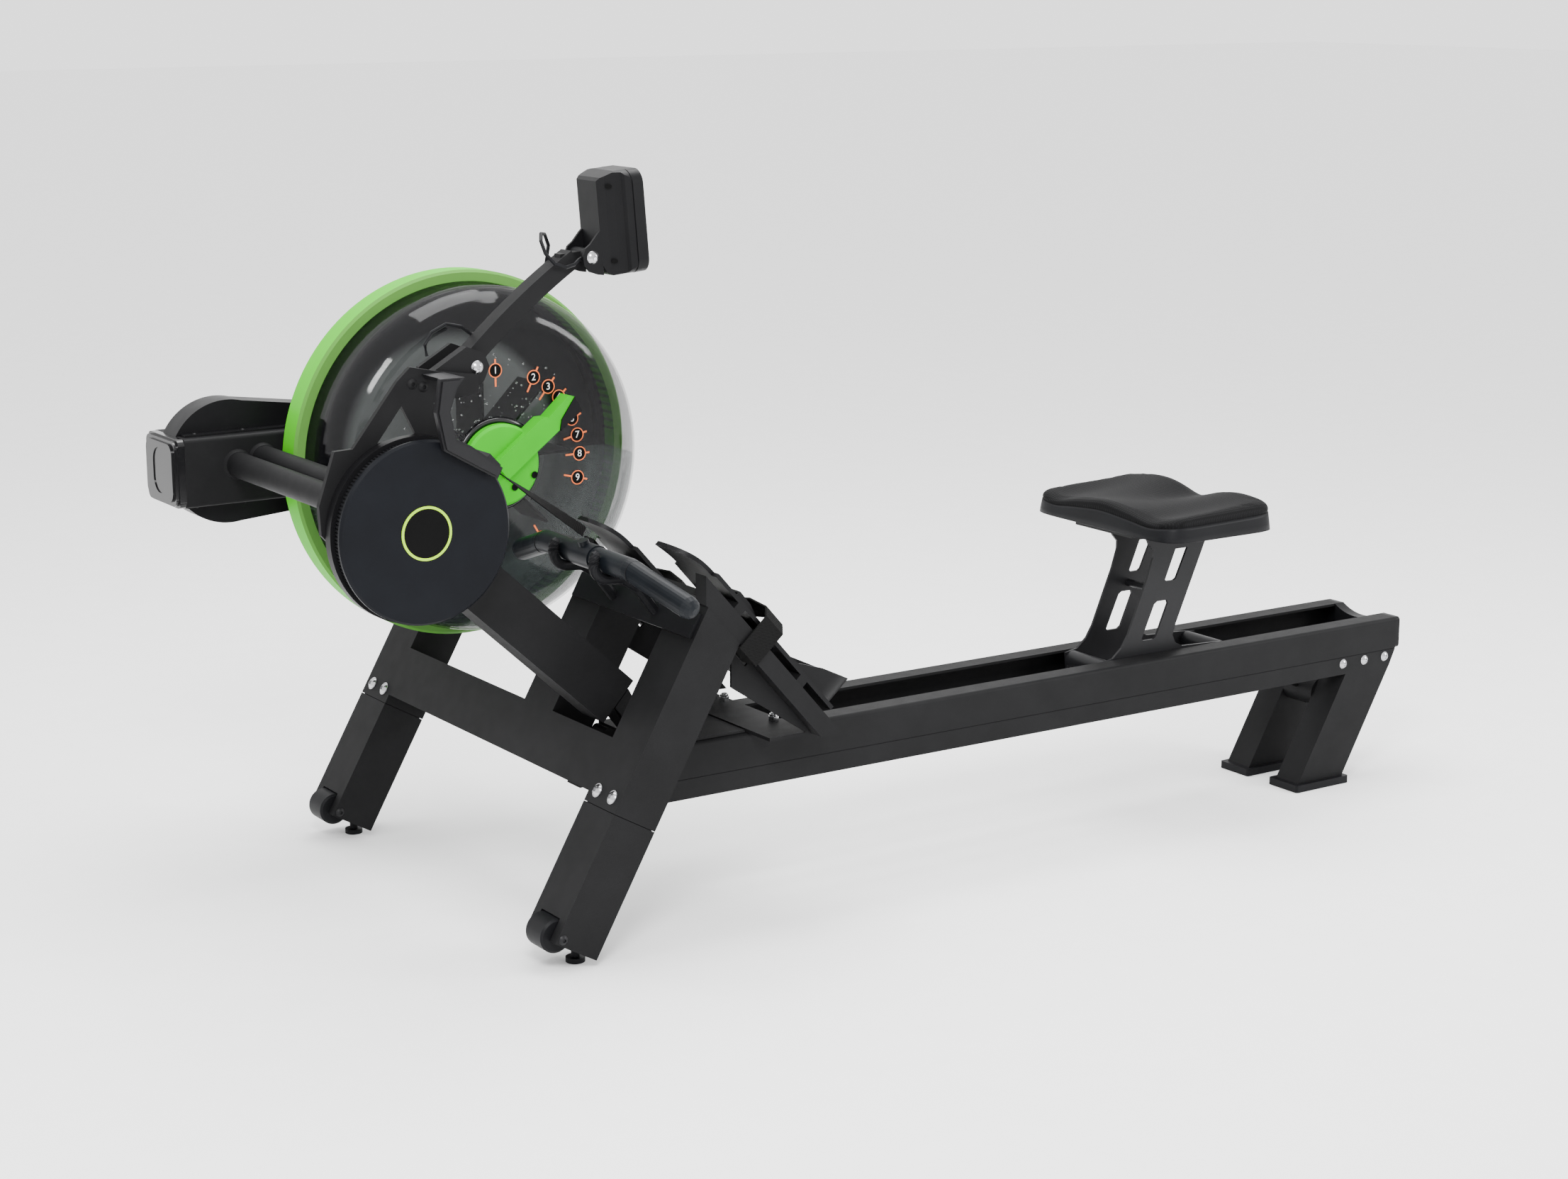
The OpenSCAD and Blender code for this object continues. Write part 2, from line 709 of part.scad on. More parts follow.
module beam_end_cap() {
    h = beam_z1 - beam_z0;
    color(satin_black) place() translate([0, beam_mid, (beam_z0 + beam_z1) / 2]) difference() {
        union() {
            x_extrude(beam_x0 - 10, beam_x0) soft_rect(beam_w, h, 10);
            x_extrude(beam_x0 - 15, beam_x0 - 10) soft_rect(beam_w - 6, h - 6, 12);
            x_extrude(beam_x0 - 18, beam_x0 - 15) soft_rect(beam_w - 16, h - 16, 16);
            x_extrude(beam_x0, beam_x0 + 12) difference() {
                soft_rect(beam_w - 2 * wall - 1, h - 2 * wall - 1, 3);
                soft_rect(beam_w - 2 * wall - 7, h - 2 * wall - 7, 2);
            }
        }
        x_extrude(beam_x0 - 20, beam_x0 - 16.5) soft_rect(46, 68, 22.9);
    }
}

// Guard over the part of the large pulley that stands out of the beam; side is 1 on top, -1 below
module pulley_guard(side) {
    dome_r = 92;
    skin = 2.5;
    tail = 168;
    face = side > 0 ? beam_z1 : beam_z0;
    edge = drive_z + side * dome_r;
    difference() {
        union() {
            y_extrude(beam_mid - 24, beam_mid + 24) guard_outline(side, dome_r, tail, face, edge);
            y_extrude(beam_mid - 42, beam_mid + 34)
                translate([-178, min(face, face + side * 3)]) square([352, 3]);
        }
        y_extrude(beam_mid - 24 + skin, beam_mid + 24 - skin)
            guard_outline(side, dome_r - skin, tail - skin, face - side, edge - side * skin);
    }
    for (x = [-160, -85, -10, 65, 140])
        translate([x, beam_mid - 33, face + side * 3]) mirror([0, 0, side > 0 ? 0 : 1]) button_bolt(4, 0.5);
}

module guard_outline(side, r, tail, face, edge) {
    difference() {
        union() {
            translate([drive_x, drive_z]) circle(r = r, $fn = 96);
            polygon([[drive_x, edge], [tail, face + side * 12], [tail, face], [drive_x, drive_z]]);
        }
        translate([-300, side > 0 ? face - 300 : face]) square([600, 300]);
    }
}

module pulley_guard_top() {
    color(satin_black) place() pulley_guard(1);
}

module pulley_guard_bottom() {
    color(satin_black) place() pulley_guard(-1);
}

// Two round tubes that carry the drum bracket from the beam, with their weld collars
module drive_tubes() {
    color(frame_black) place() difference() {
        for (p = [[drive_x, drive_z], [rear_tube_x, rear_tube_z]]) {
            y_rod(tube_r, tube_y0, beam_y0, p);
            y_turn(p) polygon([
                [tube_r - 1, beam_y0 - 5], [tube_r + 0.5, beam_y0 - 5], [tube_r + 4, beam_y0],
                [tube_r - 1, beam_y0]]);
        }
        for (p = [[drive_x, drive_z], [rear_tube_x, rear_tube_z]])
            y_rod(tube_r - tube_wall, tube_y0 - 1, beam_y0 + 1, p);
    }
}

// Plate at the near end of the tubes, with the arm that carries the mast clamp
module drum_bracket() {
    plate = [[bracket_x0, 648], [-210, 717], [-184, 718], [-119, 800], [-100, 817], [-63, 809], [-2, 800],
        [-2, 775], [-68, 768], [-28, 700], [8, 600], [-20, 505], [-110, 520], [-200, 575], [-232, 610]];
    color(frame_black) place() difference() {
        union() {
            y_extrude(tube_y0 - 8, tube_y0) polygon(plate);
            for (p = bracket_bolt_pts) translate([p[0], tube_y0 - 8, p[1]])
            rotate([90, 0, 0]) button_bolt(7, 1);
        }
        y_extrude(tube_y0 - 9, tube_y0 + 1) polygon([[-114, 768], [-150, 722], [-94, 728]]);
        y_rod(shaft_r + 3, tube_y0 - 9, tube_y0 + 1, [drive_x, drive_z]);
    }
}

// Ball bearings as plain rings: one in the near end of the tube, two in the beam for each shaft
module shaft_bearings() {
    color(bolt_silver) place() {
        for (y = [tube_y0 + 2, beam_y1 - 10])
            y_ring(bearing_r - 0.05, shaft_r + 0.04, y, y + 9, [drive_x, drive_z]);
        for (y = [beam_y0 - 6, beam_y1 - 10])
            y_ring(bearing_r - 0.05, shaft_r + 0.04, y, y + 9, [tank_x, tank_z]);
    }
}

// ---- Mast, console bracket, guard arm and cable ----

// Arched mast with a cross tube at the top that carries the console's bolt
module mast() {
    bow = 1000;
    a0 = 135.5;
    a1 = a0 - 13.1;
    thick = 24;
    base = [-17, 797];
    c = base - bow * [cos(a0), sin(a0)];
    h = mast_w / 2;
    color(frame_black) place() difference() {
        union() {
            y_extrude(-h, h) polygon(concat(
                arc(c, bow + thick / 2, a0, a1, 10), arc(c, bow - thick / 2, a1, a0, 10)));
            y_extrude(-8, 8)
                polygon([[140, 922], [140, 946], [pivot_x, pivot_z + 8], [pivot_x, pivot_z - 8]]);
            y_rod(11, -21.5, 21.5, [pivot_x, pivot_z]);
        }
        y_rod(5.06, -30, 30, [pivot_x, pivot_z]);
        y_rod(5.3, -30, 30, clamp_bolt);
    }
}

// Two cheeks on the bracket's arm that hold the mast
module mast_clamp() {
    cheek = [[-60, 776], [-8, 776], [11, 790], [19, 808], [12, 826], [-14, 836], [-62, 808]];
    h = mast_w / 2;
    color(frame_black) place() {
        difference() {
            union() {
                y_extrude(tube_y0, -h - 0.3) polygon(cheek);
                y_extrude(h + 0.3, h + 8) polygon(cheek);
                y_extrude(tube_y0, h + 8) polygon([[-60, 776], [-8, 776], [-2, 780], [-62, 786]]);
            }
            y_rod(5.2, -60, 60, clamp_bolt);
        }
    }
}

// Angled guard arm that keeps the strap on the drum
module strap_guard_arm() {
    arm = [[-86, 807], [-93, 764], [-83, 714], [-42, 690], [-7, 670], [1, 684], [-44, 717], [-65, 728],
        [-73, 764], [-62, 794], [-51, 807]];
    color(satin_black) place() {
        y_extrude(-95, -87) polygon(arm);
        y_extrude(-98, -95) polygon(inset(arm, 3));
        y_extrude(-87, -85) polygon(inset(arm, 2));
        y_extrude(-92, -50) polygon([
            drum_pt(drum_r + 4.5, 38), drum_pt(drum_r + 10, 38),
            drum_pt(drum_r + 10, 48), drum_pt(drum_r + 4.5, 48)]);
        y_extrude(-92, tube_y0 - 8) translate([-22, 4]) polygon([
            [-62, 803], [-30, 803], [-34, 797], [-58, 797]]);
    }
}

// Route of the console cable: out of the clamp, a loop at the foot of the mast, along its lower face,
// a loop round its top and into the cross tube
cable_route = [
    [-48, 18, 821], [-50, 19, 836], [-40, 20, 851], [-18, 20, 861], [4, 19, 856], [18, 18, 845],
    [34, 17.2, 847], [52, 17.2, 860], [76, 17.2, 880], [100, 17.2, 897], [120, 18, 912], [134, 20, 932],
    [138, 20, 956], [128, 12, 972], [116, 0, 974], [108, -14, 966], [110, -22, 950], [122, -25, 936],
    [140, -24, 930], [154, -22, 933], [162, -19, 938], [167, -17, 940]
];

module console_cable() {
    color(rubber_black) place() sweep(cable_route, same(cable_route, 2.5), 8);
}

// Console: local X to the rear and Z up the tilted back, about the pivot
module at_console() {
    translate([pivot_x, 0, pivot_z]) rotate([0, -console_tilt, 0]) children();
}

function console_plan(half) = let(s = [
    [back_x, -back_half], [back_x + 10, -back_half - 5], [back_x + 22, -back_half - 8],
    [back_x + 33, -back_half - 10], [back_x + 36, -half + 7], [back_x + 44, -half + 3]])
    concat(s, [for (i = [5:-1:0]) [s[i][0], -s[i][1]]]);

module console_back() {
    half = console_w / 2;
    color(satin_black) place() at_console() {
        intersection() {
            translate([0, 0, console_low]) linear_extrude(console_h) polygon(console_plan(half));
            translate([0, 0, console_low + console_h / 2]) x_extrude(0, back_x + 50)
                soft_rect(console_w, console_h, 22);
            y_extrude(-half, half) polygon([
                [back_x, console_low + 16], [back_x + 5, console_low + 5], [back_x + 14, console_low],
                [back_x + 46, console_low], [back_x + 46, console_low + console_h],
                [back_x + 26, console_low + console_h], [back_x + 5, console_low + console_h - 7],
                [back_x, console_low + console_h - 11]]);
        }
        both_sides() difference() {
            y_extrude(-back_half, -back_half + 4) polygon([
                [back_x + 1, -26], [back_x + 1, 34], [10, 30], [-2, 18], [-10, 13], [-15, 3],
                [-14, -9], [-6, -19], [6, -24]]);
            y_rod(5.3, -back_half - 1, -back_half + 5, [0, 0]);
        }
    }
}

// Bezel round the screen
module console_bezel() {
    half = console_w / 2;
    color(satin_black) place() at_console() {
        difference() {
            translate([0, 0, console_low + console_h / 2]) x_extrude(back_x + 44, back_x + 60)
                soft_rect(console_w, console_h, 20);
            translate([0, 0, console_low + console_h / 2 + 6]) x_extrude(back_x + 57, back_x + 61)
                soft_rect(console_w - 18, console_h - 34, 3);
        }
    }
}

// Bolt and nut of the console's tilt
module console_bolt() {
    color(bolt_silver) place() {
        y_rod(5, -back_half - 1, back_half + 1, [pivot_x, pivot_z]);
        translate([pivot_x, -back_half, pivot_z]) rotate([90, 0, 0]) button_bolt(9, 1);
        y_rod(8, back_half, back_half + 7, [pivot_x, pivot_z]);
    }
}

// ---- Hooks and handle ----

// Flat bar across the leg tops with two rubber-covered hooks that hold the handle
module handle_hooks() {
    rod = 7.4;
    bend = handle_r + 0.6 + rod;
    top = leg_pt(leg_top(0) - 30, -3);
    color(rubber_black) place() {
        y_extrude(near_y - leg_h + 6, post_y + leg_h - 6) polygon([
            leg_pt(leg_top(0) - 48, -5), leg_pt(leg_top(0) - 48, 0), leg_pt(leg_top(0) - 12, 0),
            leg_pt(leg_top(0) - 12, -5)]);
        for (y = [-hook_y, hook_y]) {
            hook = concat(
                [for (p = arc([handle_x, handle_z], bend, pull_angle + 82, 270, 12)) [p[0], y, p[1]]],
                [[202, y, 504], [226, y, 488], [top[0], y, top[1]]]);
            sweep(hook, concat([rod * 0.5, rod * 0.9], [for (i = [2:len(hook) - 1]) rod]), 14);
        }
    }
}

// Centre line of one grip, from the handle's middle to the tip, with a round end
grip_pts = [[handle_x, -handle_half, handle_z], [handle_x, -handle_half - 4, handle_z],
    [180.6, -122, 528.6], [182.4, -134, 525], [185, -146, 521],
    [192, -182, 510.5], [201, -227, 497], [202.4, -234, 495], [203.2, -238, 493.8], [203.7, -240.5, 493]];

module handle_bar() {
    color(rubber_black) place() {
        y_rod(handle_r, -handle_half, handle_half, [handle_x, handle_z]);
        y_rod(handle_r + 1.8, -26, 26, [handle_x, handle_z]);
        bar([handle_x, 0, handle_z], [handle_x - 8, 0, handle_z + 22], 8);
    }
}

module handle_grips() {
    r = handle_r;
    radii = [r, r, r, r, r, r, r, r * 0.86, r * 0.62, r * 0.3];
    color(satin_black) place() both_sides() sweep(grip_pts, radii, 24);
}

// Place above the handle where the strap's run ends, and the angle where it leaves the wound strap
strap_end = [handle_x - 6, handle_z + 34];
strap_run = strap_end - [drive_x, drive_z];
strap_a = atan2(strap_run[1], strap_run[0]) + acos(wound_r / norm(strap_run));

// Straight run of the pull strap from the drum. It stays square to the drum for a fifth of the way, then it
// moves to the middle of the handle and makes nearly a quarter turn.
module pull_strap() {
    t = 1.5;
    w = 7;
    turn = 80;
    start = drum_pt(wound_r + 0.5, strap_a);
    run = strap_end - start;
    across = [-run[1], 0, run[0]] / norm(run);
    sections = [for (i = [0:10]) let(k = max(0, i - 2) / 8, a = turn * k,
        c = [start[0] + run[0] * i / 10, -64 * (1 - k), start[1] + run[1] * i / 10],
        wide = [0, cos(a), 0] + sin(a) * across, thin = cos(a) * across - [0, sin(a), 0])
        for (d = [[-w, 0], [w, 0], [w, t], [-w, t]]) c + d[0] * wide + d[1] * thin];
    color(web_black) place() polyhedron(sections, concat(
        [[0, 1, 2, 3], [43, 42, 41, 40]],
        [for (i = [0:4:36], f = [
            [0, 4, 5], [0, 5, 1], [1, 5, 6], [1, 6, 2], [2, 6, 3], [3, 6, 7], [3, 7, 0], [0, 7, 4]])
            [for (k = f) i + k]]));
}

// ---- Drum and drive ----

// Spool with the wound strap and the smooth rear rim
module drum_spool() {
    bore = shaft_r + 0.06;
    color(rubber_black) place() y_turn([drive_x, drive_z]) polygon([
        [bore, -73], [wound_r, -73], [wound_r, -55], [drum_r + 2, -55], [drum_r + 2, -40.5],
        [drum_r - 8, -40.5], [drum_r - 8, -50], [22, -50], [22, -39], [bore, -39]]);
}

// Cover of the drum with its raised badge ring
module drum_cover() {
    color(satin_black) place() y_turn([drive_x, drive_z]) polygon([
        [0, -80], [drum_r - 3, -80], [drum_r, -77], [drum_r, -73], [14, -73], [14, -76], [0, -76]]);
}

module drive_shaft() {
    color(bolt_silver) place() y_rod(shaft_r, -75, beam_y1 + 3, [drive_x, drive_z]);
}

// Large pulley inside the front beam, on the drive shaft
module drive_pulley() {
    w = belt_w / 2 + 2;
    color(satin_black) place() difference() {
        translate([0, beam_mid, 0]) y_turn([drive_x, drive_z]) polygon([
            [shaft_r, -22], [24, -22], [24, -6], [pulley_r - 10, -6], [pulley_r - 10, -w], [pulley_r, -w],
            [pulley_r, w], [pulley_r - 10, w], [pulley_r - 10, 6], [24, 6], [24, 22], [shaft_r, 22]]);
        for (a = [0:60:300]) y_rod(14, beam_mid - 10, beam_mid + 10, drum_pt(50, a));
    }
}

// Flat belt round the two pulleys
module drive_belt() {
    gap = 0.5;
    t = 2.5;
    color(rubber_black) place() y_extrude(beam_mid - belt_w / 2, beam_mid + belt_w / 2) difference() {
        belt_outline(gap + t);
        belt_outline(gap);
    }
}

// Outline of the belt: the far arc of the large pulley, then the far arc of the small one
module belt_outline(g) {
    run = [tank_x - drive_x, tank_z - drive_z];
    base = atan2(run[1], run[0]);
    open = acos((pulley_r - small_pulley_r) / norm(run));
    polygon(concat(
        arc([drive_x, drive_z], pulley_r + g, base + open, base + 360 - open, 40),
        arc([tank_x, tank_z], small_pulley_r + g, base - open, base + open, 16)));
}

// Elastic return cord inside the inclined beam and along the rails
module bungee_cord() {
    color(web_black) place() sweep(cord_route, same(cord_route, 4), 8);
}
cord_route = [[-20, 0, 560], [205, 0, 336], [256, 0, 250], [272, 0, 222], [292, 0, 206], [320, 0, 200],
    [1400, 0, 196], [1440, 0, 192], [1527, 0, 152]];

// ---- Tank ----

module tank_ring() {
    color(ring_green) place() y_turn([tank_x, tank_z]) polygon([
        [shell_r, ring_y0], [ring_r - 4, ring_y0], [ring_r, ring_y0 + 4], [ring_r, ring_y1 - 3],
        [ring_r - 3, ring_y1], [shell_r, ring_y1]]);
}

// Clear front shell: a rounded bowl with a flat window and a bore for the lever's spigot
module tank_shell_front() {
    bulge = 58;
    edge_y = shell_y0 + bulge;
    outer = arc([shell_r - bulge, edge_y], bulge, -90, 0, 12);
    inner = arc([shell_r - bulge, edge_y], bulge - shell_t, 0, -90, 12);
    color(smoke) place() y_turn([tank_x, tank_z]) polygon(concat(
        [[18.3, shell_y0]], outer, [[shell_r, ring_y1 - 16], [shell_r - shell_t, ring_y1 - 16]], inner,
        [[18.3, shell_y0 + shell_t]]));
}

// Dark rear shell, with a boss that stands against the beam round the bearing
module tank_shell_rear() {
    y0 = ring_y1 - 16;
    bore = shaft_r + 0.06;
    boss_r = 60;
    color(satin_black) place() y_turn([tank_x, tank_z]) polygon([
        [bore, beam_y0 - 14], [shell_r - 12, beam_y0 - 14], [shell_r - 12, y0], [shell_r, y0],
        [shell_r, ring_y1], [shell_r - 8, beam_y0 - 9], [boss_r, beam_y0 - 9], [boss_r, beam_y0],
        [bearing_r, beam_y0], [bearing_r, beam_y0 - 6.2], [bore, beam_y0 - 6.2]]);
}

// Water in the lower part of the tank, outside the reach of the impeller
module tank_water() {
    color(water_tint) place() intersection() {
        y_turn([tank_x, tank_z]) polygon(concat(
            [[impeller_r + 4, shell_y0 + shell_t + 0.5]],
            arc([shell_r - 58, shell_y0 + 58], 58 - shell_t - 0.5, -90, 0, 12),
            [[shell_r - shell_t - 0.5, beam_y0 - 30], [impeller_r + 4, beam_y0 - 30]]));
        y_extrude(shell_y0, beam_y0) translate([tank_x - 300, water_z - 400]) square([600, 400]);
    }
}

// Impeller: hub, shaft, small pulley and flat blades
module impeller() {
    blades = 8;
    color(satin_black) place() {
        y_rod(shaft_r, 400, beam_y1 + 3, [tank_x, tank_z]);
        y_rod(30, 408, 500, [tank_x, tank_z]);
        for (i = [0:blades - 1]) translate([tank_x, 0, tank_z]) rotate([0, i * 360 / blades, 0])
            translate([26, 412, -2]) cube([impeller_r - 26, 84, 4]);
        y_rod(small_pulley_r, beam_mid - belt_w / 2 - 2, beam_mid + belt_w / 2 + 2, [tank_x, tank_z]);
    }
}

// Lever and hub on the tank's window, on a spigot through the shell
module tank_lever() {
    color(lever_green) place() {
        y_turn([tank_x, tank_z]) polygon([
            [0, hub_y0], [hub_r - 4, hub_y0], [hub_r, hub_y0 + 4], [hub_r, hub_y1], [18.2, hub_y1],
            [18.2, shell_y0 + 12], [0, shell_y0 + 12]]);
        translate([tank_x, 0, tank_z]) rotate([0, -lever_angle, 0]) {
            y_extrude(hub_y0 - 12, hub_y1) polygon([
                [-10, -17], [100, -17], [112, -6], [150, 6], [144, 14], [98, 10], [88, 17], [-10, 17]]);
            for (p = [[-6, -38], [30, -46]])
                translate([p[0], hub_y0, p[1]]) rotate([90, 0, 0]) cylinder(r = 5, h = 2);
        }
    }
}

module lever_grip() {
    color(satin_black) place() translate([tank_x, 0, tank_z]) rotate([0, -lever_angle, 0])
        y_extrude(hub_y0 - 14, hub_y1) polygon([
            [102, -18], [146, -18], [150, 5.7], [112, -6.3], [102, -15.4]]);
}

// ---- Seat ----

// Saddle seat: a flat underside, a skirt and a crowned top that is raised at the back corners
module seat_pad() {
    h = 52;
    color(rubber_black) place() translate([seat_x, 0, seat_z]) difference() {
        union() {
            linear_extrude(h) soft_rect(seat_l, seat_w, 46);
            both_sides() translate([24, -seat_w / 4, h]) intersection() {
                translate([0, 0, -150]) sphere(r = 172, $fn = 64);
                cylinder(r = 70, h = 40);
            }
        }
        translate([-40, 0, h + 130]) rotate([0, 90, 0]) cylinder(r = 142, h = 400, center = true, $fn = 96);
    }
}

// Seat post: two cut plates, the pan under the pad, axles, spacers and end buffers
module seat_post() {
    mid = seat_x;
    post = [[1064, 262], [1070, 212], [1094, 212], [1108, 226], [1292, 226], [1306, 212], [1330, 212],
        [1334, 262], [1300, 265], [1231, 268], [1216, 276], [1210, 289], [1216, 307], [1284, seat_z - 6],
        [1146, seat_z - 6], [1156, 440], [1165, 430], [1165, 418], [1155, 387], [1118, 300], [1106, 281],
        [1088, 266]];
    color(satin_black) place() translate([mid - 1202, 0, 0]) {
        both_sides() difference() {
            y_extrude(-plate_y, -plate_y + 4) polygon(post);
            y_extrude(-plate_y - 1, -plate_y + 5) polygon([
                [1191, 380], [1194, 377], [1209, 377], [1214, 380], [1236, 427], [1211, 427]]);
            y_extrude(-plate_y - 1, -plate_y + 5) polygon([
                [1146, 290], [1149, 287], [1170, 287], [1176, 291], [1198, 341], [1196, 347], [1176, 347],
                [1170, 343]]);
        }
        translate([1100, -plate_y - 22, seat_z - 6]) cube([200, 2 * (plate_y + 22), 5.6]);
        for (x = [mid - axle_dx, mid + axle_dx]) y_rod(5, -78, 78, [x, roller_z]);
        y_rod(8, -plate_y + 4, plate_y - 4, [mid - axle_dx, roller_z]);
        y_rod(14, -plate_y + 4, plate_y - 4, [1078, 250]);
        y_rod(14, -plate_y + 4, plate_y - 4, [1316, 250]);
        y_rod(6, -plate_y + 4, plate_y - 4, [1190, 360]);
    }
}

// Pair of seat rollers on one axle
module roller_pair(x) {
    both_sides() y_turn([x, roller_z]) polygon([
        [5.05, -76], [roller_r - 2, -76], [roller_r, -74],
        [roller_r, -55], [roller_r - 2, -53], [5.05, -53]]);
}

module front_rollers() {
    color(rubber_black) place() roller_pair(seat_x - axle_dx);
}

module rear_rollers() {
    color(rubber_black) place() roller_pair(seat_x + axle_dx);
}

front_leg_near();
front_leg_far();
middle_post();
crossbar();
lower_leg_near();
lower_leg_far();
frame_fasteners();
floor_feet();
wheel_axles();
rail_near();
rail_far();
rail_end_cap();
rear_leg_frame();
foot_bracket();
foot_channel_near();
foot_channel_far();
footboard_near();
footboard_far();
foot_strap_near();
foot_strap_far();
inclined_beam();
front_beam();
beam_end_cap();
pulley_guard_top();
pulley_guard_bottom();
drive_tubes();
drum_bracket();
shaft_bearings();
mast();
mast_clamp();
strap_guard_arm();
console_cable();
handle_hooks();
tank_ring();
tank_shell_front();
tank_shell_rear();
tank_water();
drive_belt();
bungee_cord();
transport_wheel_near();
transport_wheel_far();
drum_spool();
drum_cover();
drive_shaft();
drive_pulley();
impeller();
tank_lever();
lever_grip();
console_back();
console_bezel();
console_bolt();
seat_pad();
seat_post();
front_rollers();
rear_rollers();
heel_rest_near();
heel_rest_far();
handle_bar();
handle_grips();
pull_strap();
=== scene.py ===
"""Looks for the water rowing machine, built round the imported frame.

Metres, +X to the seat end, +Y to the tank, +Z up.
"""
import math
import random

import bmesh
import bpy
from mathutils import Matrix, Vector


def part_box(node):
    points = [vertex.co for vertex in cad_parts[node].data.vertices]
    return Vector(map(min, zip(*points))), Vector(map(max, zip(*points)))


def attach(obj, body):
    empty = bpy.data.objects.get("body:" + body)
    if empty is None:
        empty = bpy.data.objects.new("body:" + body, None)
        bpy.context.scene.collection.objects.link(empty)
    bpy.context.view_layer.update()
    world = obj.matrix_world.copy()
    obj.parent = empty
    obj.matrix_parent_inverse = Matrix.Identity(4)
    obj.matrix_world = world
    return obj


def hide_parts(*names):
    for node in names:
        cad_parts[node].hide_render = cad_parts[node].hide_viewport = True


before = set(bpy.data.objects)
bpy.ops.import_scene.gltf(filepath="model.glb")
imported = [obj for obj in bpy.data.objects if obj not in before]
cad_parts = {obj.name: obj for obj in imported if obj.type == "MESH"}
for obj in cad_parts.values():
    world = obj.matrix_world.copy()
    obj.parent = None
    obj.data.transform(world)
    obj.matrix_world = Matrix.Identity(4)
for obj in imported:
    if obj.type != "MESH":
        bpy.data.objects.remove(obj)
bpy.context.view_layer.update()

MM = 0.001
CENTRE = (720.0, 204.4)  # middle of the machine in the part's own drawing frame, in mm


def at(x, y, z):
    """A place in the part's drawing frame, in mm, as a place in the row frame, in metres."""
    return Vector(((x - CENTRE[0]) * MM, (y - CENTRE[1]) * MM, z * MM))


def middle(node):
    lo, hi = (Vector(p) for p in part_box(node))
    return (lo + hi) / 2, lo, hi


# ---- Materials ----

def shader(name):
    mat = bpy.data.materials.new(name)
    mat.use_nodes = True
    return mat, mat.node_tree, mat.node_tree.nodes["Principled BSDF"]


def link(tree, a, b):
    tree.links.new(a, b)


def noise(tree, coords, scale, detail=4.0):
    n = tree.nodes.new("ShaderNodeTexNoise")
    n.inputs["Scale"].default_value = scale
    n.inputs["Detail"].default_value = detail
    link(tree, coords, n.inputs["Vector"])
    return n.outputs["Fac"]


def bands(tree, coords, axis, period):
    """Stripes along an axis with a period in metres."""
    w = tree.nodes.new("ShaderNodeTexWave")
    w.bands_direction = axis
    w.inputs["Scale"].default_value = 2 * math.pi / (20 * period)
    link(tree, coords, w.inputs["Vector"])
    return w.outputs["Fac"]


def ramp(tree, fac, low, high, start=0.3, end=0.7):
    r = tree.nodes.new("ShaderNodeValToRGB")
    r.color_ramp.elements[0].position, r.color_ramp.elements[1].position = start, end
    r.color_ramp.elements[0].color, r.color_ramp.elements[1].color = (*low, 1), (*high, 1)
    link(tree, fac, r.inputs["Fac"])
    return r.outputs["Color"]


def span(tree, fac, low, high):
    m = tree.nodes.new("ShaderNodeMapRange")
    m.inputs["To Min"].default_value, m.inputs["To Max"].default_value = low, high
    link(tree, fac, m.inputs["Value"])
    return m.outputs["Result"]


def bump(tree, bsdf, height, strength, distance=0.0004):
    b = tree.nodes.new("ShaderNodeBump")
    b.inputs["Strength"].default_value, b.inputs["Distance"].default_value = strength, distance
    link(tree, height, b.inputs["Height"])
    link(tree, b.outputs["Normal"], bsdf.inputs["Normal"])


def surface(name, colour, rough, metallic=0.0, vary=0.15, grain=900.0, grain_strength=0.2, coat=0.0,
            shine=0.5):
    """Moulded, painted or metal surface: slow colour change, uneven gloss and a fine grain."""
    mat, tree, bsdf = shader(name)
    coords = tree.nodes.new("ShaderNodeTexCoord").outputs["Object"]
    low = [c * (1 - vary) for c in colour]
    high = [min(1.0, c * (1 + vary)) for c in colour]
    link(tree, ramp(tree, noise(tree, coords, 14), low, high), bsdf.inputs["Base Color"])
    link(tree, span(tree, noise(tree, coords, 45), rough - 0.06, rough + 0.06), bsdf.inputs["Roughness"])
    bsdf.inputs["Metallic"].default_value = metallic
    bsdf.inputs["Coat Weight"].default_value = coat
    bsdf.inputs["Specular IOR Level"].default_value = shine
    bump(tree, bsdf, noise(tree, coords, grain, 2.0), grain_strength)
    return mat


def woven(name, colour, across, along, period, rough=0.8):
    """Webbing or ribbed cloth from two crossed sets of stripes."""
    mat, tree, bsdf = shader(name)
    coords = tree.nodes.new("ShaderNodeTexCoord").outputs["Object"]
    mix = tree.nodes.new("ShaderNodeMath")
    mix.operation = "MULTIPLY"
    link(tree, bands(tree, coords, across, period), mix.inputs[0])
    link(tree, bands(tree, coords, along, period * 1.3), mix.inputs[1])
    low, high = [c * 0.6 for c in colour], [c * 1.7 for c in colour]
    link(tree, ramp(tree, mix.outputs[0], low, high, 0.0, 1.0), bsdf.inputs["Base Color"])
    bsdf.inputs["Roughness"].default_value = rough
    bsdf.inputs["Specular IOR Level"].default_value = 0.07
    bump(tree, bsdf, mix.outputs[0], 0.7, 0.0005)
    return mat


def clear(name, colour, rough, ior):
    mat, tree, bsdf = shader(name)
    coords = tree.nodes.new("ShaderNodeTexCoord").outputs["Object"]
    low, high = [c * 0.93 for c in colour], colour
    link(tree, ramp(tree, noise(tree, coords, 6), low, high), bsdf.inputs["Base Color"])
    bsdf.inputs["Roughness"].default_value = rough
    bsdf.inputs["Transmission Weight"].default_value = 1.0
    bsdf.inputs["IOR"].default_value = ior
    return mat


